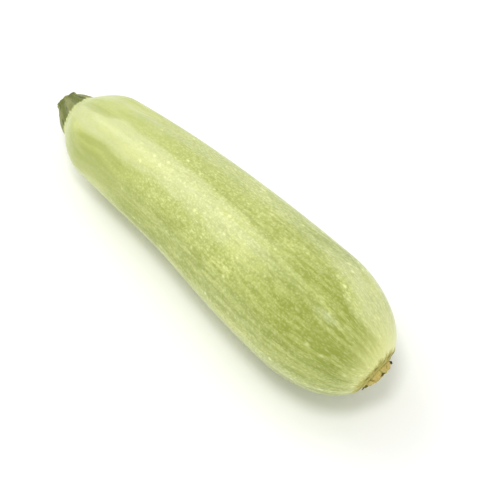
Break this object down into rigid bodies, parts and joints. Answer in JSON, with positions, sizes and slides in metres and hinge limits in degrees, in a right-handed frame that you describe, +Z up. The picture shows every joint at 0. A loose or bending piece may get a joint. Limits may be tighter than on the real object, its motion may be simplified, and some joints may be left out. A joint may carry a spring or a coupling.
{
  "type": "zucchini",
  "caption": "Pale green zucchini lying on its side: soft ribs, a slight bend, a short ridged stem and a corky blossom scar, with a flat spot on its belly to rest on.",
  "frame": {"origin": "on the surface it rests on, under the middle of the bounding box", "axes": "+X along the fruit from the stem to the blossom scar, +Z up, +Y to the side that the slight bend bulges to"},
  "size_m": [0.199, 0.0568, 0.0567],
  "materials": {
    "skin": "waxy satin plant skin, pale yellow-green with darker green streaks towards the blossom end and fine pale flecks",
    "stem": "matt olive green, fibrous and ridged, paler on the ridges",
    "cork": "matt tan cork with brown cracks and dark dried tips"
  },
  "bodies": {
    "root": {"fruit": "skin", "stem": "stem", "blossom_scar": "cork"}
  },
  "joints": []
}
